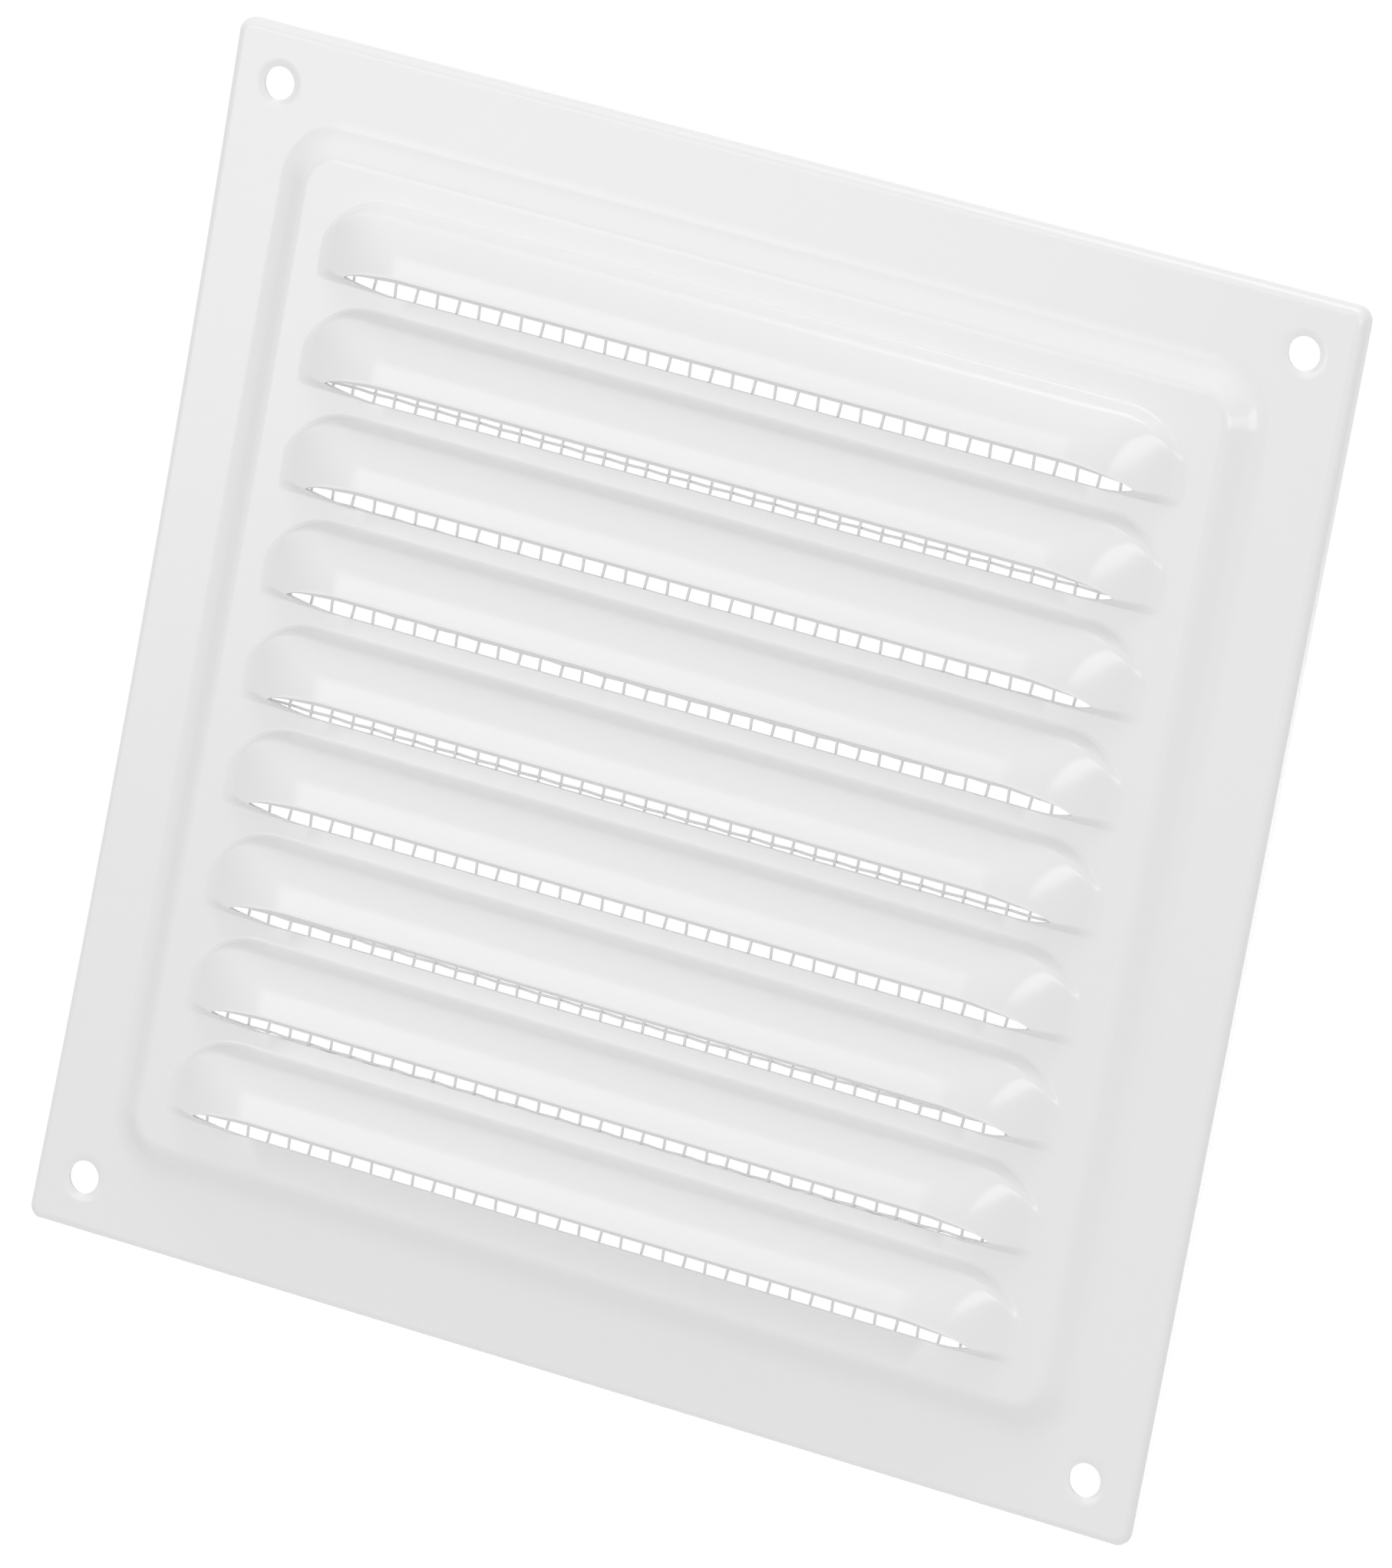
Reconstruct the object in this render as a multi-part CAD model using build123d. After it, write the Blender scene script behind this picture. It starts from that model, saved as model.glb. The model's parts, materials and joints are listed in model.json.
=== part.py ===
from build123d import *
import math
import os

# Louvred vent grille: one pressed and painted steel sheet with a row of hooded louvres,
# and a wire insect screen lying against the back of the sheet's raised field.
# Millimetres. The grille stands as it hangs on a wall: +X right and +Z up seen from
# the front, which faces -Y. The origin is the middle of the four screw holes, on the
# back face of the flange.

# The plate, pressed from one sheet, with its edge turned back to the wall
SHEET = 0.7
PLATE_WIDTH = 165.0
PLATE_HEIGHT = 165.0
PLATE_CORNER = 2.0
RIM_DEPTH = 2.5
RIM_BEND = 1.3

# The flat flange round the raised field, with a screw hole near each corner
FLANGE_WIDTH = 10.0
HOLE_DIAMETER = 4.1
HOLE_TO_FOOT = 0.45
HOLE_FLARE = 0.3

# The raised field and its sloping wall
FIELD_RISE = 2.5
FIELD_WALL_ANGLE = 36.0
FIELD_FOOT_RADIUS = 4.5
FIELD_EDGE_RADIUS = 2.2
FIELD_CORNER = 4.2

# The louvres: each is slit along its lower edge and pressed outward into a hood
LOUVRE_PITCH = 14.3
LOUVRE_STRIP = 2.15
LOUVRE_SIDE_DROP = 1.85
LOUVRE_RISE = 5.8
LOUVRE_FOOT_FOLD = 0.94
LOUVRE_WALL_ANGLE = 72.0
LOUVRE_CREST_RADIUS = 1.6
LOUVRE_FACE_ANGLE = 35.0
LOUVRE_END_ANGLE = 36.0
LOUVRE_END_FOOT = 4.0
LOUVRE_END_CREST = 17.6
LOUVRE_END_TRIM = 0.5
LOUVRE_TOP_MARGIN = 2.8
LOUVRE_BOTTOM_MARGIN = 3.0
LOUVRE_SIDE_MARGIN = 3.2
LIP_START = 0.1
LIP_HALF_RETREAT = 1.2
LIP_RETREAT = 3.25

# The insect screen: two layers of crossing wires, one drawn for every five woven
SCREEN_WIRE = 0.4
SCREEN_PITCH = 15.6
SCREEN_EDGE_GAP = 0.9
SCREEN_CRIMP = 0.05

# Sizes that follow from those above
WALL_HALF_TAN = math.tan(math.radians(FIELD_WALL_ANGLE / 2))
WALL_RUN = FIELD_RISE / math.tan(math.radians(FIELD_WALL_ANGLE))
FIELD_FRONT = SHEET + FIELD_RISE
FIELD_FOOT_INSET = FLANGE_WIDTH + FIELD_FOOT_RADIUS * WALL_HALF_TAN
FIELD_FLAT_INSET = FIELD_FOOT_INSET + WALL_RUN + FIELD_EDGE_RADIUS * WALL_HALF_TAN
FLAT_WIDTH = PLATE_WIDTH - 2 * FIELD_FLAT_INSET
FLAT_HEIGHT = PLATE_HEIGHT - 2 * FIELD_FLAT_INSET
HOLE_INSET = FLANGE_WIDTH - HOLE_TO_FOOT - HOLE_DIAMETER / 2
HOLE_SPACING_X = PLATE_WIDTH - 2 * HOLE_INSET
HOLE_SPACING_Z = PLATE_HEIGHT - 2 * HOLE_INSET
LOUVRE_CORNER = LOUVRE_PITCH - LOUVRE_STRIP - LOUVRE_SIDE_DROP
LOUVRE_REACH = FLAT_WIDTH / 2 - LOUVRE_SIDE_MARGIN
LOUVRE_STRAIGHT = 2 * (LOUVRE_REACH + LOUVRE_END_TRIM - LOUVRE_CORNER)
LOUVRE_END_BENDS = (LOUVRE_END_FOOT + LOUVRE_END_CREST) * math.tan(math.radians(LOUVRE_END_ANGLE / 2))
LOUVRE_END_RUN = LOUVRE_RISE / math.tan(math.radians(LOUVRE_END_ANGLE)) + LOUVRE_END_BENDS
LOUVRE_ROOM = FLAT_HEIGHT - LOUVRE_TOP_MARGIN - LOUVRE_BOTTOM_MARGIN
LOUVRE_COUNT = int((LOUVRE_ROOM + LOUVRE_STRIP) // LOUVRE_PITCH)
FIRST_LOUVRE = FLAT_HEIGHT / 2 - LOUVRE_TOP_MARGIN - LOUVRE_CORNER


def plate_block(skin):
    """Plate with its rounded front edge, as a block whose faces lie skin inside the real ones.
    Inside the bend a flat takes the place of the arc, as deep as the arc at its middle."""
    front = SHEET - skin
    back = SHEET - RIM_DEPTH - skin
    outline = RectangleRounded(PLATE_WIDTH - 2 * skin, PLATE_HEIGHT - 2 * skin, PLATE_CORNER - skin)
    plate = extrude(Pos(0, 0, back) * outline, front - back)
    front_edges = plate.faces().sort_by(Axis.Z)[-1].edges()
    if skin == 0:
        return fillet(front_edges, RIM_BEND)
    return chamfer(front_edges, (RIM_BEND - skin) * (2 - math.sqrt(2)))


def field_block(skin):
    """Raised field with straight sloping walls, between a foot and a top outline."""
    inset = skin * WALL_HALF_TAN

    def outline(run, rise):
        width = PLATE_WIDTH - 2 * (FIELD_FOOT_INSET + run + inset)
        height = PLATE_HEIGHT - 2 * (FIELD_FOOT_INSET + run + inset)
        corner = FIELD_CORNER + WALL_RUN - run - inset
        return Pos(0, 0, SHEET - skin + rise) * RectangleRounded(width, height, corner)

    return loft([outline(0, 0), outline(WALL_RUN, FIELD_RISE)], ruled=True)


def sheet_block(skin):
    """Plate and field together, with the bends at the foot and the edge of the field's wall."""
    block = plate_block(skin) + field_block(skin)
    reach_x = PLATE_WIDTH / 2 - FLANGE_WIDTH
    reach_y = PLATE_HEIGHT / 2 - FLANGE_WIDTH
    foot = block.edges().filter_by_position(Axis.Z, SHEET - skin, SHEET - skin)
    foot = foot.filter_by_position(Axis.X, -reach_x, reach_x)
    foot = foot.filter_by_position(Axis.Y, -reach_y, reach_y)
    block = fillet(foot, FIELD_FOOT_RADIUS + skin)
    return fillet(block.faces().sort_by(Axis.Z)[-1].edges(), FIELD_EDGE_RADIUS - skin)


def turned(angle, radius):
    """Step of a given length in a direction turned from straight out towards the foot."""
    return Vector(radius * math.sin(angle), radius * math.cos(angle))


def bend(centre, radius, start, end):
    """Arc of a section between two directions; a hollow bend has a negative radius."""
    angles = (start, (start + end) / 2, end)
    return ThreePointArc(*(centre + turned(angle, radius) for angle in angles))


def louvre_section(skin):
    """Half section of a hood from its foot to its middle, the distance out from the middle
    along x and the height over the field along y: foot fold, wall, crest bend, long face."""
    wall = math.radians(LOUVRE_WALL_ANGLE)
    fold = wall / 2
    face = math.radians(LOUVRE_FACE_ANGLE)
    crest_radius = LOUVRE_CREST_RADIUS
    foot = Vector(LOUVRE_CORNER, 0)
    fold_top = foot + Vector(-math.cos(fold), math.sin(fold)) * LOUVRE_FOOT_FOLD
    run = fold_top.X - crest_radius * (math.sin(wall) - math.sin(face))
    rise = LOUVRE_RISE - fold_top.Y - crest_radius * (math.cos(face) - math.cos(wall))
    scale = math.cos(wall) * (1 - math.cos(face)) - math.sin(face) * math.sin(wall)
    wall_length = (run * (1 - math.cos(face)) - rise * math.sin(face)) / scale
    face_radius = (math.cos(wall) * rise - math.sin(wall) * run) / scale
    wall_top = fold_top + Vector(-math.cos(wall), math.sin(wall)) * wall_length
    crest_centre = wall_top - turned(wall, crest_radius)
    face_centre = crest_centre + turned(face, crest_radius - face_radius)
    mitre = skin / math.cos(fold / 2)
    corners = [foot - turned(fold / 2, mitre), fold_top - turned(fold * 3 / 2, mitre)]
    crest_bend = bend(crest_centre, crest_radius - skin, wall, face)
    long_face = bend(face_centre, face_radius - skin, face, 0)
    outline = Polyline(long_face @ 1, (0, -skin), *corners, crest_bend @ 0)
    return make_face(outline + crest_bend + long_face)


def end_section(skin):
    """Half section along a hood, from the foot of its end slope to the middle of the louvre:
    foot bend, gentle slope, wide crest bend and the level crest."""
    slope = math.radians(LOUVRE_END_ANGLE)
    foot_centre = Vector(LOUVRE_REACH, LOUVRE_END_FOOT)
    crest_centre = Vector(LOUVRE_REACH - LOUVRE_END_RUN, LOUVRE_RISE - LOUVRE_END_CREST)
    foot_bend = bend(foot_centre, -LOUVRE_END_FOOT - skin, 0, slope)
    crest_bend = bend(crest_centre, LOUVRE_END_CREST - skin, slope, 0)
    straight = Line(foot_bend @ 1, crest_bend @ 0)
    below = -skin - SHEET
    base = ((0, LOUVRE_RISE - skin), (0, below), (LOUVRE_REACH, below))
    closing = Polyline(crest_bend @ 1, *base, foot_bend @ 0)
    return make_face(foot_bend + straight + crest_bend + closing)


def louvre_block(skin):
    """Hood as a solid: the section drawn along the louvre, turned about each end and carried
    straight down at the sides to the slit, then eased down to the field by the end slope."""
    section = louvre_section(skin)
    half = LOUVRE_STRAIGHT / 2
    along = extrude(Plane.YZ * section, half)
    corner = Pos(half, 0, 0) * revolve(Plane.YZ * section, Axis.Z, -90)
    side = Pos(half, 0, 0) * extrude(Plane.XZ * section, LOUVRE_SIDE_DROP)
    height = LOUVRE_RISE
    below = Pos(half / 2, -LOUVRE_SIDE_DROP / 2, height / 2 - skin) * Box(half, LOUVRE_SIDE_DROP, height)
    end_slope = extrude(Plane.XZ * end_section(skin), LOUVRE_PITCH, both=True)
    right = (along + corner + side + below) & end_slope
    return right + mirror(right, Plane.YZ)


def lip_cutter():
    """Cutter under the lip, which bends back from the slit as the sheet is drawn outward."""
    slit = -LOUVRE_SIDE_DROP
    start = (slit + LIP_START, 0)
    halfway = (slit + LIP_HALF_RETREAT, LOUVRE_RISE / 2)
    lip = ThreePointArc(start, halfway, (slit + LIP_RETREAT, LOUVRE_RISE))
    clear = LOUVRE_RISE + SHEET
    outer = slit - LOUVRE_PITCH
    top = lip @ 1 + (lip % 1) * SHEET
    closing = Polyline(top, (outer, top.Y), (outer, -clear), (start[0], -clear), start)
    return extrude(Plane.YZ * make_face(lip + Line(lip @ 1, top) + closing), FLAT_WIDTH / 2, both=True)


def louvre_places():
    """Middle of each hood's corner turn, from the top louvre down, on the field's front face."""
    return [Pos(0, FIRST_LOUVRE - LOUVRE_PITCH * n, FIELD_FRONT) for n in range(LOUVRE_COUNT)]


def screw_holes():
    """Cutters for the four screw holes, flared at the front where the punch draws the edge in."""
    radius = HOLE_DIAMETER / 2
    flare = (radius + HOLE_FLARE, SHEET)
    side = Polyline((radius, SHEET - HOLE_FLARE), (radius, -SHEET), (0, -SHEET), (0, SHEET), flare, close=True)
    hole = revolve(Plane.XZ * make_face(side), Axis.Z)
    return GridLocations(HOLE_SPACING_X, HOLE_SPACING_Z, 2, 2) * hole


def faceplate():
    """The pressed sheet: everything between its front faces and its back faces."""
    hood = louvre_block(0) - lip_cutter()
    hollow = louvre_block(SHEET)
    front = sheet_block(0) + [place * hood for place in louvre_places()]
    back = sheet_block(SHEET) + [place * hollow for place in louvre_places()]
    return front - back - screw_holes()


def insect_screen():
    """Upright wires against the back of the field and level wires behind them."""
    width = FLAT_WIDTH - 2 * SCREEN_EDGE_GAP
    height = FLAT_HEIGHT - 2 * SCREEN_EDGE_GAP
    columns = round(width / SCREEN_PITCH) + 1
    rows = round(height / SCREEN_PITCH) + 1
    step_x = (width - SCREEN_WIRE) / (columns - 1)
    step_z = (height - SCREEN_WIRE) / (rows - 1)
    upright_level = FIELD_RISE - SCREEN_WIRE / 2
    level_level = upright_level - SCREEN_WIRE + SCREEN_CRIMP
    upright = Box(SCREEN_WIRE, height, SCREEN_WIRE)
    level = Box(width, SCREEN_WIRE, SCREEN_WIRE)
    uprights = Pos(0, 0, upright_level) * GridLocations(step_x, 1, columns, 1) * upright
    levels = Pos(0, 0, level_level) * GridLocations(1, step_z, 1, rows) * level
    return Part() + uprights + levels


os.makedirs("parts", exist_ok=True)
upright_pose = Rot(90, 0, 0)
export_step(upright_pose * faceplate(), "parts/faceplate.step")
export_step(upright_pose * insect_screen(), "parts/insect_screen.step")
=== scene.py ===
# %% [markdown]
# # A louvred vent grille
# The grille is one sheet of thin steel, pressed and painted white, with a woven wire
# insect screen lying against its back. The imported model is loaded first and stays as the
# frame that everything is measured from. Each of its two solids is then replaced by a
# surface of the same form, fine enough to show the soft bends of pressed sheet.

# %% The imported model
import json

import bpy
import numpy as np
from mathutils import Matrix, Vector
from mathutils.geometry import delaunay_2d_cdt


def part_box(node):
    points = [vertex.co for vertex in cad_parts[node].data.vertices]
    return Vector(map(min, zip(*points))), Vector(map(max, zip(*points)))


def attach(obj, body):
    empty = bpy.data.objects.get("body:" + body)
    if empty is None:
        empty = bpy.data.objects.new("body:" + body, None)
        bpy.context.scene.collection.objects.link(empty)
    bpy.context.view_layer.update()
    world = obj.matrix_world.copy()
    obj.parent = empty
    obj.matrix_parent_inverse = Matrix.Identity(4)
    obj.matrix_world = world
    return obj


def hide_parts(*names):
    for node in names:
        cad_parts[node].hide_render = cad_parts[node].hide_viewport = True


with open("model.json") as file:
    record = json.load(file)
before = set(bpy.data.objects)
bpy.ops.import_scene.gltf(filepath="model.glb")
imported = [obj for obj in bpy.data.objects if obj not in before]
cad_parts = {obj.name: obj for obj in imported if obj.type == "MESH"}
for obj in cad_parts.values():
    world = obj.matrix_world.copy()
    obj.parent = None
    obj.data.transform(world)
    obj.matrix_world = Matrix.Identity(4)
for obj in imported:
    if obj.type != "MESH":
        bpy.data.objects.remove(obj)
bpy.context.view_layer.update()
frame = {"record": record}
MM = 0.001
plate_low, plate_high = (np.array(corner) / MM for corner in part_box("faceplate"))
screen_low, screen_high = (np.array(corner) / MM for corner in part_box("insect_screen"))
print("plate", plate_high - plate_low, "mm; screen", screen_high - screen_low, "mm")

# %% [markdown]
# ## The camera
# The photograph was taken from a little to the right of the grille and a little above
# it, with a long lens, and the grille leans in the picture. Rather than tilt the part,
# the camera is rolled. A long lens far away gives the nearly parallel edges of the
# photograph, so the distance is large and the lens is a telephoto.

# %% Camera
CAMERA_AZIMUTH = np.radians(24.568)
CAMERA_ELEVATION = np.radians(11.613)
CAMERA_ROLL = np.radians(10.583)
CAMERA_DISTANCE = 1.8
CAMERA_AIM = (0.002043, -0.001138)
CAMERA_LENS = 317.455

level = np.cos(CAMERA_ELEVATION)
back = np.array([
    np.sin(CAMERA_AZIMUTH) * level,
    -np.cos(CAMERA_AZIMUTH) * level,
    np.sin(CAMERA_ELEVATION),
])
right = np.cross(-back, (0, 0, 1))
right /= np.linalg.norm(right)
up = np.cross(back, right)
rolled_right = np.cos(CAMERA_ROLL) * right + np.sin(CAMERA_ROLL) * up
rolled_up = np.cos(CAMERA_ROLL) * up - np.sin(CAMERA_ROLL) * right
place = back * CAMERA_DISTANCE + CAMERA_AIM[0] * rolled_right + CAMERA_AIM[1] * rolled_up

camera = bpy.data.objects.new("camera", bpy.data.cameras.new("camera"))
camera.data.lens = CAMERA_LENS
axes_and_place = np.column_stack([rolled_right, rolled_up, back, place])
camera.matrix_world = Matrix(np.vstack([axes_and_place, (0, 0, 0, 1)]))
bpy.context.scene.collection.objects.link(camera)
bpy.context.scene.camera = camera
print("camera at", place.round(3), "m")

# %% [markdown]
# ## Sections and paths
# Pressed sheet is easiest to describe as it is made: a section, the line that the sheet
# follows from one side to the other, is carried along a path. A section here is a list
# of rows, each with a distance outward, a height out of the wall, and the direction the
# sheet faces there. Because the facing is known exactly, the mesh can be given exact
# normals, and a bend only a millimetre wide shades smoothly with a few rows.

# %% Section helpers
SHEET = 0.7


def bend(centre, radius, start, end, steps):
    """Arc of a section: the centre plus radius times (sin a, cos a), for a from start to
    end in degrees. That direction is the facing. A hollow bend has a negative radius."""
    angle = np.radians(np.linspace(start, end, steps))
    facing = np.stack([np.sin(angle), np.cos(angle)], 1)
    return np.hstack([np.array(centre) + radius * facing, facing])


def carried(core, direction, section):
    """Section carried along a path: point = core + distance times direction in the plane
    of the wall, with the section's height out of it. Gives points and facings in the CAD frame,
    x right, y into the wall and z up, the points in millimetres."""
    section = np.broadcast_to(section, (len(core),) + section.shape[-2:])
    plan = core[:, None] + direction[:, None] * section[..., :1]
    facing = direction[:, None] * section[..., 2:3]
    points = np.stack([plan[..., 0], -section[..., 1], plan[..., 1]], -1)
    normals = np.stack([facing[..., 0], -section[..., 3], facing[..., 1]], -1)
    return points, normals


def inside(section):
    """The sheet's other skin: every row moved back by the sheet's thickness along its facing."""
    moved = section.copy()
    moved[..., :2] -= SHEET * section[..., 2:]
    return moved


def square_path(half_x, half_z, turn_steps, run_steps):
    """Closed path round a rectangle: the direction turns a quarter at each corner of the
    core while the core point waits, and the core point runs along each side in between."""
    turn = np.radians(np.linspace(0, 90, turn_steps))
    run = np.linspace(0, 1, run_steps + 2)[1:-1]
    signs = np.array([(1, 1), (-1, 1), (-1, -1), (1, -1)])
    quarter = np.append(turn, np.full(run_steps, np.pi / 2))
    angle = np.concatenate([quarter + k * np.pi / 2 for k in range(4)])
    share = np.concatenate([np.zeros(turn_steps), run])[:, None]
    core = np.vstack([signs[k] * (1 - share) + signs[(k + 1) % 4] * share for k in range(4)])
    return core * (half_x, half_z), np.stack([np.cos(angle), np.sin(angle)], 1)


print("sheet of", SHEET, "mm")

# %% [markdown]
# ## Collecting the skins
# A pressed sheet has a front skin, a back skin and a cut edge between them. Each form adds
# its patch of points, facings and triangles to one list. When all are in, points that
# coincide are merged, so that the sheet is one closed surface, and every triangle is
# turned to agree with its facings.

# %% Patches
patches = []
CUT_EDGE_STEPS = 7
CUT_EDGE_ROUND = 0.55
INSIDE_ONLY = 1
NET_TOLERANCE = 1e-7


def grid_triangles(rows, columns, closed):
    """Two triangles for each cell of a grid; closed joins its last row to its first."""
    row = np.arange(rows if closed else rows - 1)[:, None]
    column = np.arange(columns - 1)
    a = row * columns + column
    b = (row + 1) % rows * columns + column
    return np.concatenate([np.stack([a, b, b + 1], -1), np.stack([a, b + 1, a + 1], -1)]).reshape(-1, 3)


def add_skin(points, normals, closed, cut=0.0):
    """Adds one grid of the sheet's surface. cut marks the bare edges, where paint lies thinner; their grey
    is partly painted shade.
    """
    triangles = grid_triangles(*points.shape[:2], closed)
    patches.append((points.reshape(-1, 3), normals.reshape(-1, 3), triangles, cut))


def add_sheet(core, direction, section, closed=True):
    """Adds both skins of a section carried along a path, and gives them back."""
    front = carried(core, direction, section)
    rear = carried(core, direction, inside(section))
    add_skin(*front, closed)
    add_skin(rear[0], -rear[1], closed)
    return front, rear


def add_flat(outer, holes, leans=None):
    """Adds a flat part of the sheet between an outer loop and its holes, each an array of front
    points, as the triangles of a constrained Delaunay net, once for each skin. leans gives how
    far each point's facing is tilted up, in degrees. A triangle with all its corners on one hole
    lies in that hole, which is convex, and is left out."""
    loops = [outer, *holes]
    points = np.vstack(loops)
    starts = np.cumsum([0] + [len(loop) for loop in loops])
    edges = np.vstack([np.stack([np.arange(n), np.roll(np.arange(n), -1)], 1) + s
                       for s, n in zip(starts, map(len, loops))])
    plan = [Vector(p) for p in points[:, [0, 2]]]
    net = delaunay_2d_cdt(plan, edges.tolist(), [], INSIDE_ONLY, NET_TOLERANCE)
    origin = np.array([same[0] for same in net[3]])
    triangles = origin[np.array(net[2])]
    owner = np.repeat(np.arange(len(loops)), [len(loop) for loop in loops])[triangles]
    triangles = triangles[(owner.min(1) < owner.max(1)) | (owner[:, 0] == 0)]
    lean = np.zeros(len(points)) if leans is None else np.radians(np.concatenate(leans))
    normals = np.stack([np.zeros(len(points)), -np.cos(lean), np.sin(lean)], 1)
    for back, side in ((0.0, 1.0), (SHEET, -1.0)):
        patches.append((points + (0, back, 0), side * normals, triangles, 0.0))


def add_cut_edge(front, rear, away):
    """Adds the sheet's cut edge along a closed loop: half an ellipse from the front skin's border
    to the back skin's, bulging to the side that away (+1 or -1) names across the loop."""
    half = (front - rear) / 2
    tangent = np.roll(front, -1, 0) - np.roll(front, 1, 0)
    out = np.cross(half, tangent) * away
    reach = np.linalg.norm(half, axis=1, keepdims=True)
    out *= CUT_EDGE_ROUND * reach / np.linalg.norm(out, axis=1, keepdims=True)
    angle = np.linspace(0, np.pi, CUT_EDGE_STEPS)[:, None]
    across, outward = half[:, None] * np.cos(angle), out[:, None] * np.sin(angle)
    points = (front + rear)[:, None] / 2 + across + outward
    normals = across * CUT_EDGE_ROUND + outward / CUT_EDGE_ROUND
    add_skin(points, normals / np.linalg.norm(normals, axis=2, keepdims=True), True, 1.0)


print("edges rounded by", CUT_EDGE_ROUND * SHEET / 2, "mm")

# %% [markdown]
# ## The rim
# The plate's border is bent back to the wall all round, which stiffens it and hides its
# cut edge. It is one section, a quarter bend and a short straight, carried round the
# square. The corners are small and round because the sheet is drawn over the die there.

# %% Rim
PLATE_CORNER = 2.0
RIM_BEND = 1.3
RIM_TURN_STEPS = 10
RUN_STEPS = 24
BEND_STEPS = 9
plate_half = (plate_high - plate_low)[[0, 2]] / 2
rim_back = -plate_high[1]
edge_bulge = CUT_EDGE_ROUND * SHEET / 2

path = square_path(*(plate_half - PLATE_CORNER), RIM_TURN_STEPS, RUN_STEPS)
rim_section = np.vstack([
    bend((PLATE_CORNER - RIM_BEND, SHEET - RIM_BEND), RIM_BEND, 0, 90, BEND_STEPS),
    (PLATE_CORNER, rim_back + edge_bulge, 1, 0),
])
rim_front, rim_rear = add_sheet(*path, rim_section)
add_cut_edge(rim_front[0][:, -1], rim_rear[0][:, -1], 1)
print("rim", len(path[0]), "steps round, reaching back to", rim_back, "mm")

# %% [markdown]
# ## The raised field's wall
# The middle of the plate is pressed 2.5 mm proud of the flange. Its wall is shallow, with
# a wide hollow bend at its foot and a rounder one at its top. A straight slope between
# two arcs gives the soft light and dark bands that run round the field.

# %% Field wall
FLANGE_WIDTH = 10.0
FIELD_RISE = 2.5
FIELD_WALL_ANGLE = 36.0
FIELD_FOOT_RADIUS = 4.5
FIELD_EDGE_RADIUS = 2.2
FIELD_CORNER = 4.2
FIELD_TURN_STEPS = 14
FIELD_FOOT_STEPS = 12

half_tangent = np.tan(np.radians(FIELD_WALL_ANGLE / 2))
wall_run = FIELD_RISE / np.tan(np.radians(FIELD_WALL_ANGLE))
field_front = SHEET + FIELD_RISE
flat_corner = FIELD_CORNER - FIELD_EDGE_RADIUS * half_tangent
foot_corner = FIELD_CORNER + wall_run + FIELD_FOOT_RADIUS * half_tangent
field_core = plate_half - FLANGE_WIDTH - foot_corner
flat_half = field_core + flat_corner

path = square_path(*field_core, FIELD_TURN_STEPS, RUN_STEPS)
edge_centre = (flat_corner, field_front - FIELD_EDGE_RADIUS)
foot_centre = (foot_corner, SHEET + FIELD_FOOT_RADIUS)
wall_section = np.vstack([
    bend(edge_centre, FIELD_EDGE_RADIUS, 0, FIELD_WALL_ANGLE, BEND_STEPS),
    bend(foot_centre, -FIELD_FOOT_RADIUS, FIELD_WALL_ANGLE, 0, FIELD_FOOT_STEPS),
])
wall_front, wall_rear = add_sheet(*path, wall_section)
print("field flat", 2 * flat_half, "mm, corner", round(flat_corner, 2), "mm")

# %% [markdown]
# ## The screw holes and the flange
# A punch draws the sheet in a little round each hole, so the hole sits in a shallow
# dish that catches the light below and loses it above. The dish is one convex bend
# carried round a circle. The flat flange is then the net of triangles left between the
# rim, the field's foot and the four dishes.

# %% Holes and flange
DISH_RADIUS = 3.5
DISH_ANGLE = 15.0
DISH_STEPS = 8
HOLE_STEPS = 48

bolts = next(m for m in frame["record"]["mounts"] if m["name"] == "screw_holes")["dims"]
hole_border = bolts["hole_r_mm"] + edge_bulge
dish_bend = (DISH_RADIUS - hole_border) / np.sin(np.radians(DISH_ANGLE))
dish_section = bend((DISH_RADIUS, SHEET - dish_bend), dish_bend, 0, -DISH_ANGLE, DISH_STEPS)
angle = np.linspace(0, 2 * np.pi, HOLE_STEPS, endpoint=False)
circle = np.stack([np.cos(angle), np.sin(angle)], 1)
hole_places = np.array([(x, z) for x in (-0.5, 0.5) for z in (-0.5, 0.5)])
hole_places *= (bolts["spacing_x_mm"], bolts["spacing_y_mm"])
dish_loops = []
for hole in hole_places:
    dish, dish_rear = add_sheet(np.tile(hole, (HOLE_STEPS, 1)), circle, dish_section)
    add_cut_edge(dish[0][:, -1], dish_rear[0][:, -1], -1)
    dish_loops.append(dish[0][:, 0])
add_flat(rim_front[0][:, 0], [wall_front[0][:, -1], *dish_loops])
print(len(hole_places), "holes", 2 * bolts["hole_r_mm"], "mm wide")

# %% [markdown]
# ## The louvre hoods
# Each louvre is slit along its lower edge and pressed outward above the slit. Cut across,
# it has a small hollow bend at the foot, a steep wall, a crest bend and a long face that
# comes to face straight out at the lip. Cut along, it eases down to the field at both
# ends in a long slope. Each of the two cuts gives a height, and the sheet follows a soft
# minimum of both, so the ends are smooth domes.

# %% Hood sections
LOUVRE_PITCH = 14.3
LOUVRE_STRIP = 2.15
SIDE_DROP = 1.85
LOUVRE_RISE = 5.8
HOOD_FOOT_RADIUS = 0.8
HOOD_WALL_ANGLE = 72.0
CREST_RADIUS = 1.6
HOOD_FACE_ANGLE = 35.0
END_ANGLE = 36.0
END_FOOT = 4.0
END_CREST = 17.6
END_TRIM = 0.5
SIDE_MARGIN = 3.2
hood_corner = LOUVRE_PITCH - LOUVRE_STRIP - SIDE_DROP
reach = flat_half[0] - SIDE_MARGIN
half_straight = reach + END_TRIM - hood_corner


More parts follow.
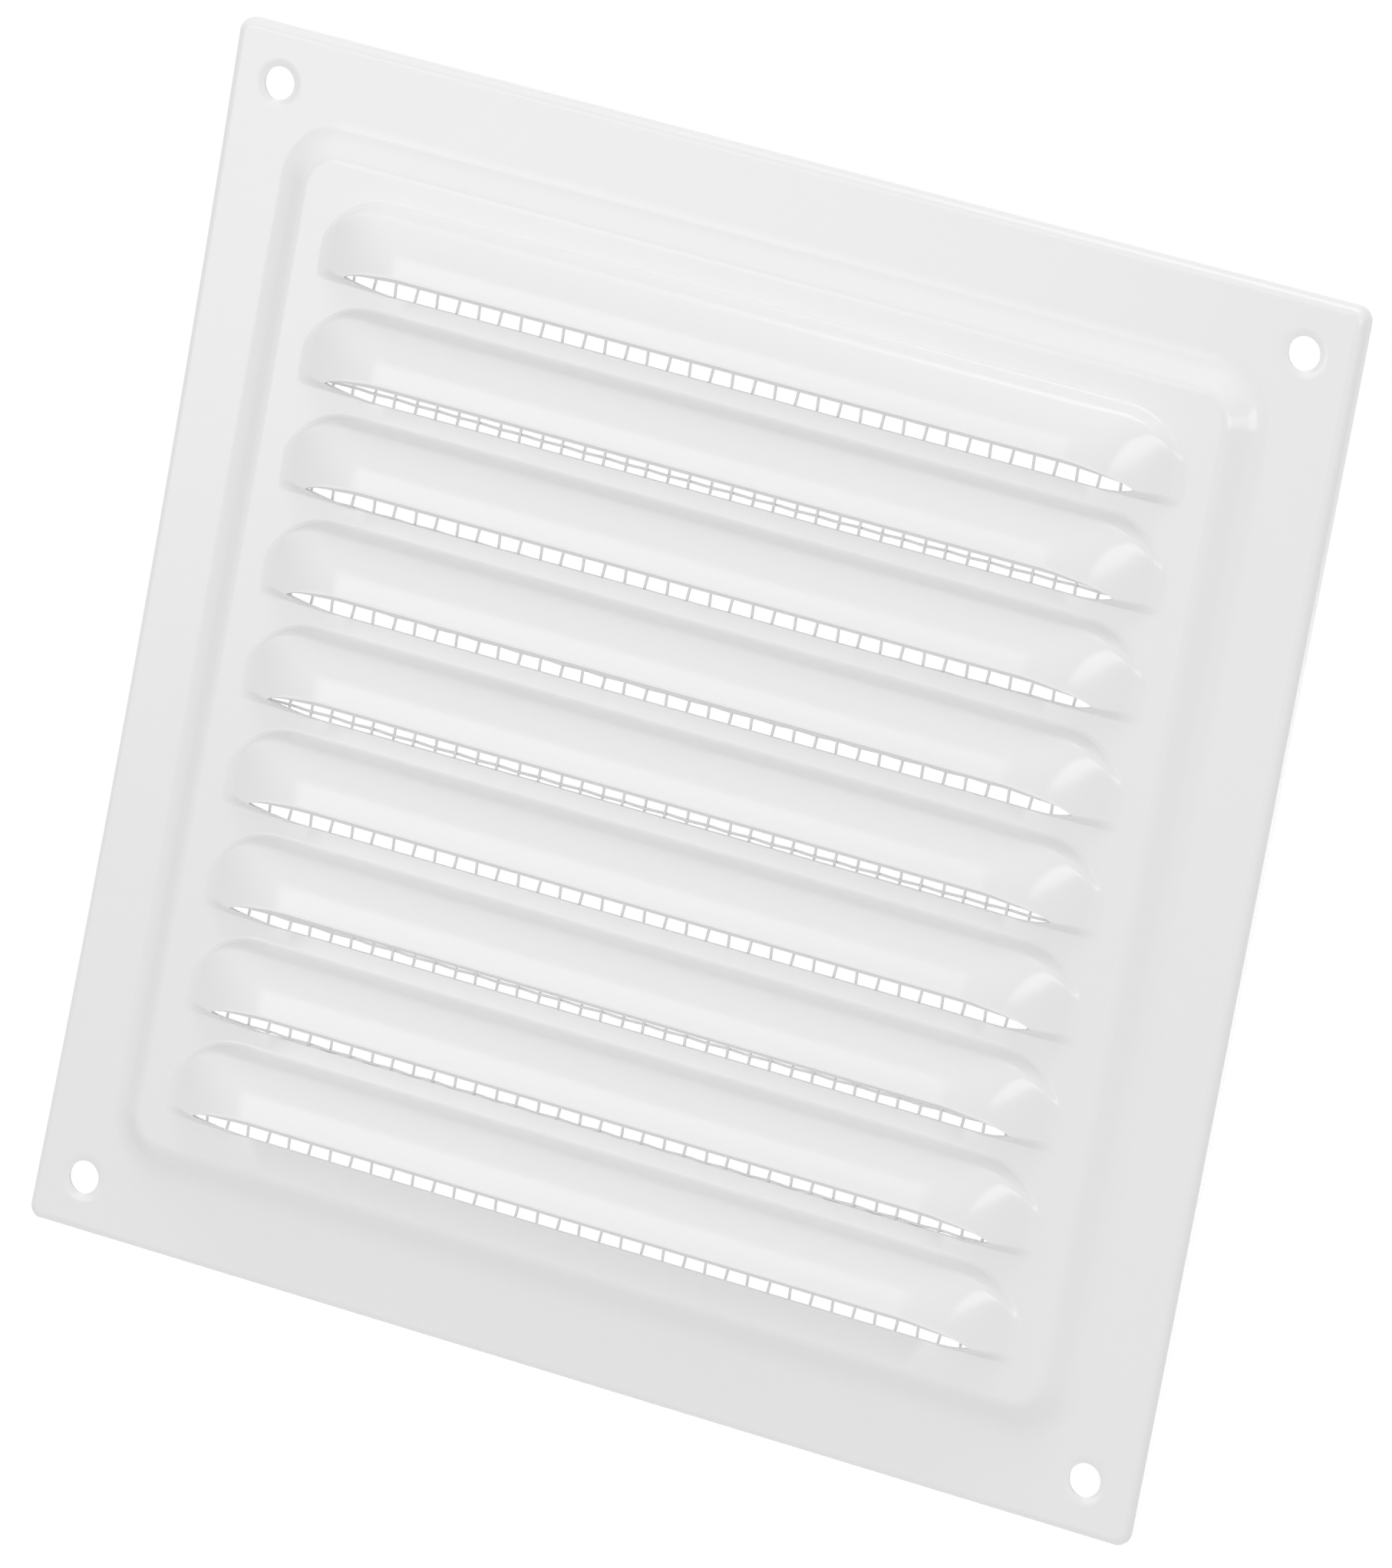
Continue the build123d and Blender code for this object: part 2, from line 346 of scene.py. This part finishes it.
def hood_line(steps):
    """Half section across a hood, foot to middle. The wall's length and the face's radius are
    solved from two sums: the runs of all parts reach the middle, and their rises the full rise."""
    wall, face = np.radians((HOOD_WALL_ANGLE, HOOD_FACE_ANGLE))
    foot_run, foot_rise = HOOD_FOOT_RADIUS * np.sin(wall), HOOD_FOOT_RADIUS * (1 - np.cos(wall))
    crest_run = CREST_RADIUS * (np.sin(wall) - np.sin(face))
    crest_rise = CREST_RADIUS * (np.cos(face) - np.cos(wall))
    run, rise = hood_corner - foot_run - crest_run, LOUVRE_RISE - foot_rise - crest_rise
    parts = np.array([(np.cos(wall), np.sin(face)), (np.sin(wall), 1 - np.cos(face))])
    wall_length, face_radius = np.linalg.solve(parts, (run, rise))
    foot = bend((hood_corner, HOOD_FOOT_RADIUS), -HOOD_FOOT_RADIUS, 0, HOOD_WALL_ANGLE, steps)
    crest_start = foot[-1, :2] + wall_length * np.array((-np.cos(wall), np.sin(wall)))
    crest_centre = crest_start - CREST_RADIUS * foot[-1, 2:]
    crest = bend(crest_centre, CREST_RADIUS, HOOD_WALL_ANGLE, HOOD_FACE_ANGLE, steps)
    face_centre = crest[-1, :2] - face_radius * crest[-1, 2:]
    face_part = bend(face_centre, face_radius, HOOD_FACE_ANGLE, 0, steps)
    return np.vstack([foot, crest, face_part[1:]])


def end_line(steps):
    """Half section along a hood, from the foot of its end slope to where the crest is level."""
    slope = np.radians(END_ANGLE)
    run = LOUVRE_RISE / np.tan(slope) + (END_FOOT + END_CREST) * np.tan(slope / 2)
    foot = bend((reach, END_FOOT), -END_FOOT, 0, END_ANGLE, steps)
    crest = bend((reach - run, LOUVRE_RISE - END_CREST), END_CREST, END_ANGLE, 0, steps)
    return np.vstack([foot, crest])


LINE_STEPS = 400
fine_line, fine_end = hood_line(LINE_STEPS), end_line(LINE_STEPS)
fine_length = np.append(0, np.cumsum(np.linalg.norm(np.diff(fine_line[:, :2], axis=0), axis=1)))
print("hood section", round(fine_length[-1], 2), "mm long")
print("hood ends ease down from", fine_end[-1, 0].round(2), "mm")

# %% [markdown]
# ## The slit and the lip
# The slit is straight, and its two ends curl up and close before the hood does. Beyond them
# the dome comes down to the field by a small flank that faces down and lies in shade. Along
# the slit the lip draws back as the sheet is stretched outward, more where the hood is
# high, so the opening is a long lens.

# %% Hood surface
SOFTNESS = 2.5
SLIT_REACH = 58.0
SLIT_CURL = 1.6
CURL_START = 51.0
LIP_RETREAT = 3.6
LIP_POWER = 0.85
LIP_BEVEL = 0.5
LEAST_HEIGHT = 1e-4
slit_low = -SIDE_DROP - edge_bulge
slit_tip = slit_low + SLIT_CURL


def smooth(share):
    """Step from 0 to 1 that starts and ends level, 3 s squared minus 2 s cubed, and its slope."""
    share = np.clip(share, 0, 1)
    return share ** 2 * (3 - 2 * share), 6 * share * (1 - share)


def slit_curl(x):
    """Share of the slit's curl at x, growing as the square of the way from its start to the tip."""
    return np.clip((np.abs(x) - CURL_START) / (SLIT_REACH - CURL_START), 0, 1) ** 2


def hood_height(section, x, z, direction):
    """Height and gradient of the hood. With a across and b along, it is the power mean
    (a^-n + b^-n - full^-n)^(-1/n): where either is full, the other is kept. Under the slit's tips
    the height fades to the field."""
    a = np.maximum(section[..., 1], LEAST_HEIGHT)
    b = np.maximum(np.interp(-np.abs(x), -fine_end[:, 0], fine_end[:, 1]), LEAST_HEIGHT)
    height = (a ** -SOFTNESS + b ** -SOFTNESS - LOUVRE_RISE ** -SOFTNESS) ** (-1 / SOFTNESS)
    tilt = np.interp(-np.abs(x), -fine_end[:, 0], fine_end[:, 2] / fine_end[:, 3])
    slope_a = -section[..., 2] / section[..., 3] * (height / a) ** (SOFTNESS + 1)
    slope_b = -tilt * np.sign(x) * (height / b) ** (SOFTNESS + 1)
    fade, fade_slope = smooth((z - slit_low) / SLIT_CURL)
    gradient_x = fade * (slope_a * direction[..., 0] + slope_b)
    gradient_z = fade * slope_a * direction[..., 1] + height * fade_slope / SLIT_CURL
    return fade * height, gradient_x, gradient_z


tip_height = np.interp(-SLIT_REACH, -fine_end[:, 0], fine_end[:, 1])
print("slit closes", SLIT_REACH, "mm from the middle; dome there", tip_height.round(2), "mm high")

# %% [markdown]
# ## The hood as a grid
# The surface is laid out in columns that start at the hood's foot and run inward to the lip.
# Along the straight middle nothing changes, so the columns stand far apart there and crowd
# together towards the ends, where the domes begin.

# %% Hood grid
TURN_STEPS = 16
SIDE_STEPS = 8
FLANK_STEPS = 9
STRAIGHT_STEPS = 18
STRAIGHT_CROWDING = 2.2
FOOT_ROWS, WALL_ROWS, CREST_ROWS, FACE_ROWS = 7, 4, 7, 16
foot_length = np.radians(HOOD_WALL_ANGLE) * HOOD_FOOT_RADIUS
crest_length = np.radians(HOOD_WALL_ANGLE - HOOD_FACE_ANGLE) * CREST_RADIUS
face_start = fine_length[2 * LINE_STEPS - 1]

turn = np.radians(np.linspace(90, 0, TURN_STEPS + 1))
side_z = np.append(np.linspace(slit_low, slit_tip, FLANK_STEPS)[:-1], np.linspace(slit_tip, 0, SIDE_STEPS))
straight = half_straight * (1 - np.linspace(1, 0, STRAIGHT_STEPS) ** STRAIGHT_CROWDING)
core_right = np.vstack([
    np.stack([straight, np.zeros(STRAIGHT_STEPS)], 1),
    np.tile((half_straight, 0), (TURN_STEPS - 1, 1)),
    np.stack([np.full(len(side_z), half_straight), side_z[::-1]], 1),
])
angle_right = np.concatenate([np.full(STRAIGHT_STEPS, np.pi / 2), turn[1:-1], np.zeros(len(side_z))])
direction_right = np.stack([np.cos(angle_right), np.sin(angle_right)], 1)
hood_core = np.vstack([(core_right * (-1, 1))[:0:-1], core_right])
hood_direction = np.vstack([(direction_right * (-1, 1))[:0:-1], direction_right])


def hood_skins():
    """Plan, height and gradient of a hood, foot row to lip row. Each column follows the section
    until it falls under the lip, which lies over the slit by the retreat times a power of the
    height."""

    def surface(section):
        plan = hood_core[:, None] + hood_direction[:, None] * section[..., :1]
        return plan, *hood_height(section, plan[..., 0], plan[..., 1], hood_direction[:, None])

    plan, height, _, _ = surface(np.broadcast_to(fine_line, (len(hood_core),) + fine_line.shape))
    share = np.clip((height - tip_height) / (LOUVRE_RISE - tip_height), 0, 1)
    lip = slit_low + SLIT_CURL * slit_curl(plan[..., 0]) + LIP_RETREAT * share ** LIP_POWER
    under = hood_core[:, 1:] < slit_tip - 1e-6
    over = np.where(under, np.abs(plan[..., 0]) - SLIT_REACH, plan[..., 1] - lip)
    last = np.clip((over >= 0).sum(1) - 1, 0, len(fine_line) - 2)
    here = np.arange(len(over))
    part = over[here, last] / (over[here, last] - over[here, last + 1])
    lip_length = fine_length[last] + np.clip(part, 0, 1) * (fine_length[last + 1] - fine_length[last])
    stops = (0, foot_length, face_start - crest_length, face_start, lip_length.max())
    counts = (FOOT_ROWS, WALL_ROWS, CREST_ROWS, FACE_ROWS)
    parts = zip(stops, stops[1:], counts)
    rows = np.concatenate([np.linspace(a, b, n, endpoint=False) for a, b, n in parts])
    along = lip_length[:, None] * np.append(rows, stops[-1]) / stops[-1]
    section = np.stack([np.interp(along, fine_length, fine_line[:, k]) for k in range(4)], -1)
    return surface(section)


def sheet_skins(plan, height, gradient_x, gradient_z):
    """Front points, facings and back points of the sheet over a plan. The back lies one thickness
    along the facing; round the slit's tips, where the sheet bends sharply, it lies straight behind."""
    normals = np.stack([-gradient_x, -np.ones_like(height), -gradient_z], -1)
    normals /= np.linalg.norm(normals, axis=-1, keepdims=True)
    front = np.stack([plan[..., 0], -height - field_front, plan[..., 1]], -1)
    whole = np.clip((plan[..., 1:] - slit_tip) / SLIT_CURL, 0, 1)
    inward = whole * normals + (1 - whole) * np.array((0, -1, 0))
    return front, normals, front - SHEET * inward / np.linalg.norm(inward, axis=-1, keepdims=True)


hood = sheet_skins(*hood_skins())
lip_share = (-hood[0][:, -1, 1] - field_front - tip_height) / (LOUVRE_RISE - tip_height)
hood[2][:, -1, 2] -= LIP_BEVEL * np.clip(lip_share, 0, 1)
print("hood grid", hood[0].shape[:2], "lip", hood[0][len(hood_core) // 2, -1].round(2), "mm")

# %% [markdown]
# ## The flank under the slit's ends
# Near its ends the slit curls up, and the sheet under it is drawn up with the dome. This
# small patch runs from the start of the curl to the tip, between the field and the
# slit's lower edge, and meets the dome's last columns point for point.

# %% Slit ends
CURL_STEPS = 14
flank_share = np.linspace(0, 1, FLANK_STEPS)


def slit_flank(side):
    """The drawn-up sheet under one end of the slit: height = tip height times curl times a smooth
    step across, so that both slopes stay finite where the patch narrows to nothing."""
    x = np.linspace(CURL_START, SLIT_REACH, CURL_STEPS)[:, None] * side
    curl = slit_curl(x)
    step, step_slope = smooth(flank_share)
    z = slit_low + SLIT_CURL * curl * flank_share
    tip = hood[0][-FLANK_STEPS:, -1][::-1]
    crown = np.where(step > 0, (-tip[:, 1] - field_front) / np.maximum(step, 1e-9), tip_height)
    curl_slope = 2 * np.sqrt(curl) / (SLIT_REACH - CURL_START) * side
    gradient_x = crown * curl_slope * (step - flank_share * step_slope)
    gradient_z = np.broadcast_to(crown * step_slope / SLIT_CURL, z.shape)
    plan = np.stack([np.broadcast_to(x, z.shape), z], -1)
    return sheet_skins(plan, crown * curl * step, gradient_x, gradient_z)


flanks = [slit_flank(side) for side in (-1, 1)]
print("slit ends curl up", SLIT_CURL, "mm over", SLIT_REACH - CURL_START, "mm")

# %% [markdown]
# ## The row of louvres
# Nine equal louvres are pressed in one stroke at an even pitch, so one hood is worked out
# and set down nine times. The slit's lower edge closes the loop with the lip above it. The
# flat that is left between all the slits is one more net of triangles. Its strips between two
# hoods are drawn back a little at the slit, so they face up by a few degrees.

# %% Louvre row
TOP_MARGIN = 2.8
SLIT_STEPS = 60
slit_x = np.linspace(CURL_START, -CURL_START, SLIT_STEPS)[1:-1]
louvre_count = int((2 * flat_half[1] - TOP_MARGIN + LOUVRE_STRIP) // LOUVRE_PITCH)
first_louvre = flat_half[1] - TOP_MARGIN - hood_corner
lip_columns = slice(FLANK_STEPS - 1, len(hood_core) - FLANK_STEPS + 1)
STRIP_LEAN = 6.0
LEAN_FADE = 8.0
strip_drop = (LOUVRE_STRIP - edge_bulge) * np.tan(np.radians(STRIP_LEAN))


def strip_share(x):
    """How much of the strips' lean is left at x: all in the middle, none where the slit curls."""
    return smooth((CURL_START - np.abs(x)) / LEAN_FADE)[0]


slit_loops, leans = [], [np.zeros(len(wall_front[0]))]
for louvre in range(louvre_count):
    strip_above, strip_below = louvre > 0, louvre < louvre_count - 1
    cut_depth = strip_drop * strip_share(slit_x) * strip_below - field_front
    straight_cut = np.stack([slit_x, cut_depth, np.full(len(slit_x), slit_low)], 1)
    shift = np.array((0, 0, first_louvre - louvre * LOUVRE_PITCH))
    for front, normals, rear in (hood, *flanks):
        add_skin(front + shift, normals, False)
        add_skin(rear + shift, -normals, False)
    loops = []
    for skin, depth in ((0, 0.0), (2, SHEET)):
        left_end, right_end = (flank[skin][:-1, -1] for flank in flanks)
        lip, low_edge = hood[skin][lip_columns, -1], straight_cut + (0, depth, 0)
        loops.append(np.vstack([lip, right_end[::-1], low_edge, left_end]) + shift)
    add_cut_edge(*loops, 1)
    left_foot, right_foot = (flank[0][:-1, 0] for flank in flanks)
    foot, left_side, right_side = hood[0][:, 0], hood[0][0, :0:-1], hood[0][-1, 1:]
    border = np.vstack([foot, right_side, right_foot[::-1], straight_cut, left_foot, left_side])
    leaning = np.where(border[:, 2] > 0, strip_above, strip_below)
    leans.append(STRIP_LEAN * strip_share(border[:, 0]) * leaning)
    slit_loops.append(border + shift)
add_flat(wall_front[0][:, 0], slit_loops, leans)
print(louvre_count, "louvres of", round(2 * reach, 1), "mm")

# %% [markdown]
# ## One closed sheet
# The patches are merged into one mesh. The left border of this grille was drawn in a
# little by the press, about a millimetre at its middle, so the outer part of the flange is
# eased inward there. The facings go in as custom normals.

# %% Faceplate
BOW = 1.1
BOW_FADE = 9.0
MERGE_CELLS_PER_MM = 1e4


def merged(patches):
    """Joins the patches: equal points become one, each triangle is turned to agree with
    the facings of its corners, and triangles that have lost a corner are dropped."""
    points, normals = (np.vstack([patch[k] for patch in patches]) for k in (0, 1))
    starts = np.cumsum([0] + [len(patch[0]) for patch in patches])
    triangles = np.vstack([patch[2] + start for patch, start in zip(patches, starts)])
    cut = np.concatenate([np.full(len(patch[0]), patch[3]) for patch in patches])
    keys = np.round(points * MERGE_CELLS_PER_MM).astype(np.int64)
    _, first, same = np.unique(keys, axis=0, return_index=True, return_inverse=True)
    facings = normals[triangles]
    points, cut, triangles = points[first], cut[first], same.reshape(-1)[triangles]
    a, b, c = triangles.T
    whole = (a != b) & (b != c) & (c != a)
    return points, *agreed(points, facings[whole], triangles[whole]), cut


def agreed(points, facings, triangles):
    """Facings and triangles with each triangle turned to lie the way its corners face."""
    corner = points[triangles]
    lies = np.cross(corner[:, 1] - corner[:, 0], corner[:, 2] - corner[:, 0])
    wrong = (lies * facings.sum(1)).sum(1) < 0
    triangles[wrong], facings[wrong] = triangles[wrong][:, ::-1], facings[wrong][:, ::-1]
    return facings, triangles


def mesh_piece(name, points, facings, triangles, replaced, slot):
    """Makes a piece at the origin from points in millimetres, with exact normals at the corners."""
    mesh = bpy.data.meshes.new(name)
    mesh.from_pydata(points * MM, [], triangles)
    mesh.polygons.foreach_set("use_smooth", np.ones(len(triangles), bool))
    mesh.normals_split_custom_set(facings.reshape(-1, 3))
    piece = bpy.data.objects.new(name, mesh)
    bpy.context.scene.collection.objects.link(piece)
    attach(piece, "root")
    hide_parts(replaced)
    print(name, len(points), "points", len(triangles), "triangles")
    return piece


points, facings, triangles, cut = merged(patches)
outer_share = np.clip((-points[:, 0] - plate_half[0] + BOW_FADE) / BOW_FADE, 0, 1)
points[:, 0] += BOW * outer_share * (1 - (points[:, 2] / plate_half[1]) ** 2)
faceplate = mesh_piece("pressed_faceplate", points, facings, triangles, "faceplate", "white_paint")
# The cut_edge mask greys the paint on cut edges: thin coat, and partly painted shade.
attribute = faceplate.data.attributes.new("cut_edge", "FLOAT", "POINT")
attribute.data.foreach_set("value", cut.astype(np.float32))

# %% [markdown]
# ## The insect screen
# The screen is plain woven wire: every wire goes over one crossing wire and under the
# next, so it waves by half its thickness, and neighbours wave the other way. The panel was
# cut and laid in by hand. Its upright wires lean by about a degree and its level wires
# sag a little in the middle, and both show through the slots.

# %% Woven screen
WIRE = 0.4
WIRE_PITCH = np.array((3.13, 3.1))
WIRE_LEAN = 0.0213
WIRE_SAG = 0.35
WIRE_PHASE = np.array((0.0, 1.5))
STEPS_PER_CROSSING = 4
WIRE_SIDES = 6
screen_half = (screen_high - screen_low)[[0, 2]] / 2
screen_middle = -screen_low[1] - WIRE


def wire_family(across, along, flip):
    """One family of waving wires. Wire i lies at phase + i times pitch across. Along it the height is
    half a wire times the cosine of the crossing's number, and neighbours take the other sign."""
    half, pitch, phase = screen_half[across] - WIRE, WIRE_PITCH[across], WIRE_PHASE[across]
    number = np.arange(np.ceil((-half - phase) / pitch), np.floor((half - phase) / pitch) + 1)
    reach = screen_half[along] - WIRE
    steps = int(2 * reach / WIRE_PITCH[along] * STEPS_PER_CROSSING)
    run = np.linspace(-reach, reach, steps)
    crossing = (run - WIRE_PHASE[along]) / WIRE_PITCH[along]
    wave = flip * np.cos(np.pi * (crossing + number[:, None])) * WIRE / 2
    line = np.zeros((len(number), steps, 3))
    line[..., across] = (phase + number * pitch)[:, None]
    line[..., along] = run
    line[..., 2] = wave
    return line


def wire_tubes(line, across):
    """Round tubes along the lines: each point is the line's point plus half a wire times
    (cos, sin) of the angle, in the directions across the wire and out of the screen."""
    angle = np.linspace(0, 2 * np.pi, WIRE_SIDES, endpoint=False)
    ring = np.zeros((WIRE_SIDES, 3))
    ring[:, across], ring[:, 2] = np.cos(angle), np.sin(angle)
    tubes = line[:, :, None] + ring * WIRE / 2
    return tubes, np.broadcast_to(ring, tubes.shape)


def laid(weave):
    """The weave as it lies in the grille: leaning by a share of the height, sagging by a parabola
    across the width, at the screen's height behind the field."""
    x, z, out = np.moveaxis(weave, -1, 0)
    sag = WIRE_SAG * (1 - (x / screen_half[0]) ** 2)
    return np.stack([x + WIRE_LEAN * z, -screen_middle - out, z - sag], -1)


wire_points, wire_normals, wire_triangles = [], [], []
count = 0
for across, along, flip in ((0, 1, 1), (1, 0, -1)):
    tubes, facing = wire_tubes(wire_family(across, along, flip), across)
    wires, steps = tubes.shape[:2]
    cell = grid_triangles(WIRE_SIDES, steps, True)
    ring_first = (cell % steps) * WIRE_SIDES + cell // steps
    start = count + np.arange(wires)[:, None, None] * steps * WIRE_SIDES
    wire_triangles.append((start + ring_first).reshape(-1, 3))
    wire_points.append(laid(tubes).reshape(-1, 3))
    facing = np.stack([facing[..., 0], -facing[..., 2], facing[..., 1]], -1)
    wire_normals.append(facing.reshape(-1, 3))
    count += tubes.size // 3
screen_points, screen_normals = np.vstack(wire_points), np.vstack(wire_normals)
screen_triangles = np.vstack(wire_triangles)
screen_facings = screen_normals[screen_triangles]
screen_net = agreed(screen_points, screen_facings, screen_triangles)
insect_screen = mesh_piece("woven_screen", screen_points, *screen_net, "insect_screen", "screen_wire")

# %% [markdown]
# ## Shader expressions
# A material is easier to read as a formula than as a web of nodes. One small class wraps a
# socket: arithmetic on it adds Math nodes, and its add method puts in any other node.

# %% Socket class


class Socket:
    """An output socket that can be used in a formula."""

    def __init__(self, tree, output=None):
        self.tree, self.output = tree, output

    def add(self, kind, settings=None, inputs=None, out=0):
        """Adds a node: its type, its settings, then the values or links of its sockets."""
        node = self.tree.nodes.new(kind)
        for name, value in (settings or {}).items():
            setattr(node, name, value)
        for name, value in (inputs or {}).items():
            if isinstance(value, Socket):
                self.tree.links.new(value.output, node.inputs[name])
            else:
                node.inputs[name].default_value = value
        return Socket(self.tree, node.outputs[out] if node.outputs else None)

    def maths(self, operation, first, second):
        """Adds a Math node on two values or sockets."""
        return self.add("ShaderNodeMath", {"operation": operation}, {0: first, 1: second})

    def __add__(self, other):
        return self.maths("ADD", self, other)

    def __radd__(self, other):
        return self.maths("ADD", other, self)

    def __mul__(self, other):
        return self.maths("MULTIPLY", self, other)

    def __rmul__(self, other):
        return self.maths("MULTIPLY", other, self)


def new_material(name):
    """An empty node material, with a Socket to build it from."""
    material = bpy.data.materials.new(name)
    material.use_nodes = True
    material.node_tree.nodes.clear()
    return material, Socket(material.node_tree)


def mixed(sheet, share, first, second):
    """The colour that lies a share of the way from the first colour to the second."""
    return sheet.add("ShaderNodeMix", {"data_type": "RGBA"}, {0: share, 6: first, 7: second}, out=2)


print("shader class ready")

# %% [markdown]
# ## White paint
# The sheet is powder coated: white, glossy enough to mirror a soft box, with a faint
# orange peel about a millimetre across. Broad changes of a percent or so, warm here and
# cool there, keep it from looking like one flat colour. On the cut edges the coat is thin
# and a little greyer, and that grey is partly painted shade on the edges.

# %% Paint
COOL_WHITE = (0.905, 0.905, 0.92, 1)
WARM_WHITE = (0.925, 0.923, 0.917, 1)
# Grey for the cut edges: thin coat, and partly painted shade.
THIN_COAT_AND_SHADE = (0.62, 0.62, 0.63, 1)
BROAD_SCALE = 14.0
PEEL_SCALE = 620.0
GRAIN_SCALE = 2600.0
PEEL_DEPTH = 0.00004

paint, p = new_material("white_powder_coat")
spot = p.add("ShaderNodeTexCoord", out="Object")


def paint_noise(scale, detail):
    """Noise on the piece's own metres."""
    return p.add("ShaderNodeTexNoise", None, {"Vector": spot, "Scale": scale, "Detail": detail})


broad = paint_noise(BROAD_SCALE, 2.0)
peel = paint_noise(PEEL_SCALE, 2.0)
grain = paint_noise(GRAIN_SCALE, 1.0)
thin_coat_and_shade = p.add("ShaderNodeAttribute", {"attribute_name": "cut_edge"}, out="Fac")
coat = mixed(p, broad, COOL_WHITE, WARM_WHITE)
# Cut edges turn greyer: thin coat, and partly painted shade on those edges.
coat = mixed(p, thin_coat_and_shade * 0.3, coat, THIN_COAT_AND_SHADE)
gloss = 0.12 + 0.05 * peel + 0.04 * broad
ripple = p.add("ShaderNodeBump", None,
               {"Strength": 0.12, "Distance": PEEL_DEPTH, "Height": peel + 0.25 * grain})
shader = p.add("ShaderNodeBsdfPrincipled", None,
               {"Base Color": coat, "Roughness": gloss, "Normal": ripple})
p.add("ShaderNodeOutputMaterial", None, {"Surface": shader})
faceplate.data.materials.append(paint)
print("paint with", len(paint.node_tree.nodes), "nodes")

# %% [markdown]
# ## Galvanised wire
# The screen's wire is dipped in zinc, which is dull grey, with a mottled bloom and fine
# drawing marks. Metal takes its colour from what it mirrors, so the grey is in the
# reflectance and the mottling mostly in the roughness.

# %% Wire
DARK_ZINC = (0.68, 0.685, 0.695, 1)
PALE_ZINC = (0.80, 0.80, 0.805, 1)
BLOOM_SCALE = 420.0
MARK_SCALE = 5200.0
MARK_DEPTH = 0.00003

zinc, z = new_material("galvanised_wire")
spot = z.add("ShaderNodeTexCoord", out="Object")
bloom = z.add("ShaderNodeTexNoise", None, {"Vector": spot, "Scale": BLOOM_SCALE, "Detail": 3.0})
marks = z.add("ShaderNodeTexNoise", None, {"Vector": spot, "Scale": MARK_SCALE, "Detail": 1.0})
grey = mixed(z, bloom, DARK_ZINC, PALE_ZINC)
ripple = z.add("ShaderNodeBump", None, {"Strength": 0.2, "Distance": MARK_DEPTH, "Height": marks})
shader = z.add("ShaderNodeBsdfPrincipled", None,
               {"Base Color": grey, "Metallic": 0.3, "Roughness": 0.32 + 0.2 * bloom, "Normal": ripple})
z.add("ShaderNodeOutputMaterial", None, {"Surface": shader})
insect_screen.data.materials.append(zinc)
print("wire with", len(zinc.node_tree.nodes), "nodes")

# %% [markdown]
# ## Floor and white background
# The photograph's background is plain white. The pale floor lies well below the grille, out
# of the picture, and keeps its shadow. Towards the camera, and in mirrors and glass,
# floor and world are simply white.

# %% Floor and world
FLOOR_DROP = 1.2
FLOOR_SIZE = 6.0
WORLD_LIGHT = 0.665


def seen_directly(socket):
    """1 for rays from the camera, from mirrors and through glass, and 0 for the rest."""
    path = socket.add("ShaderNodeLightPath")
    rays = [Socket(socket.tree, path.output.node.outputs[name])
            for name in ("Is Camera Ray", "Is Glossy Ray", "Is Transmission Ray")]
    return socket.maths("MINIMUM", rays[0] + rays[1] + rays[2], 1.0)


corners = np.array([(-1, -1), (1, -1), (1, 1), (-1, 1)]) * FLOOR_SIZE
mesh = bpy.data.meshes.new("floor")
mesh.from_pydata(np.column_stack([corners, np.full(4, -FLOOR_DROP)]), [], [(0, 1, 2, 3)])
floor = bpy.data.objects.new("floor", mesh)
bpy.context.scene.collection.objects.link(floor)

pale, f = new_material("pale_floor")
matt = f.add("ShaderNodeBsdfDiffuse", None, {"Color": (0.8, 0.8, 0.8, 1)})
white = f.add("ShaderNodeEmission", None, {"Color": (1, 1, 1, 1), "Strength": 1.0})
surface = f.add("ShaderNodeMixShader", None, {0: seen_directly(f), 1: matt, 2: white})
f.add("ShaderNodeOutputMaterial", None, {"Surface": surface})
mesh.materials.append(pale)

world = bpy.data.worlds.new("studio")
bpy.context.scene.world = world
world.use_nodes = True
world.node_tree.nodes.clear()
w = Socket(world.node_tree)
strength = WORLD_LIGHT + (1.0 - WORLD_LIGHT) * seen_directly(w)
sky = w.add("ShaderNodeBackground", None, {"Color": (1, 1, 1, 1), "Strength": strength})
w.add("ShaderNodeOutputWorld", None, {"Surface": sky})
bpy.context.scene.view_settings.view_transform = "Standard"
print("floor", FLOOR_DROP, "m below the grille")

# %% [markdown]
# ## Studio light
# Most of the photograph's light is even and comes from all round. Four soft boxes shape it.
# A tall one stands in front to the left, where the faces of the hoods mirror it as a bright
# band with a sharp upper edge. A small one to the right lights up the hoods' right ends. One
# overhead brightens the first crest, which no hood shades. One low behind shines up into the
# hollow hoods, and what comes out by the slits lights the strips between them.

# %% Soft boxes


def soft_box(name, azimuth, elevation, distance, size, watts):
    """A rectangular lamp at an azimuth and elevation seen from the grille, facing it."""
    a, e = np.radians((azimuth, elevation))
    outward = Vector((np.sin(a) * np.cos(e), -np.cos(a) * np.cos(e), np.sin(e)))
    lamp = bpy.data.lights.new(name, "AREA")
    lamp.shape, (lamp.size, lamp.size_y), lamp.energy = "RECTANGLE", size, watts
    box = bpy.data.objects.new(name, lamp)
    box.location = outward * distance
    box.rotation_mode = "QUATERNION"
    box.rotation_quaternion = outward.to_track_quat("Z", "Y")
    bpy.context.scene.collection.objects.link(box)
    print(name, "at", [round(x, 2) for x in box.location], watts, "W")
    return box


soft_box("front_box", -28.0, 5.5, 2.4, (0.5, 1.42), 4.7)
soft_box("right_box", 35.0, 5.0, 2.0, (1.05, 0.6), 5.0)
soft_box("top_box", -10.0, 78.0, 1.1, (0.8, 0.5), 2.4)
soft_box("back_box", 180.0, -40.0, 1.1, (1.3, 1.3), 9.5)
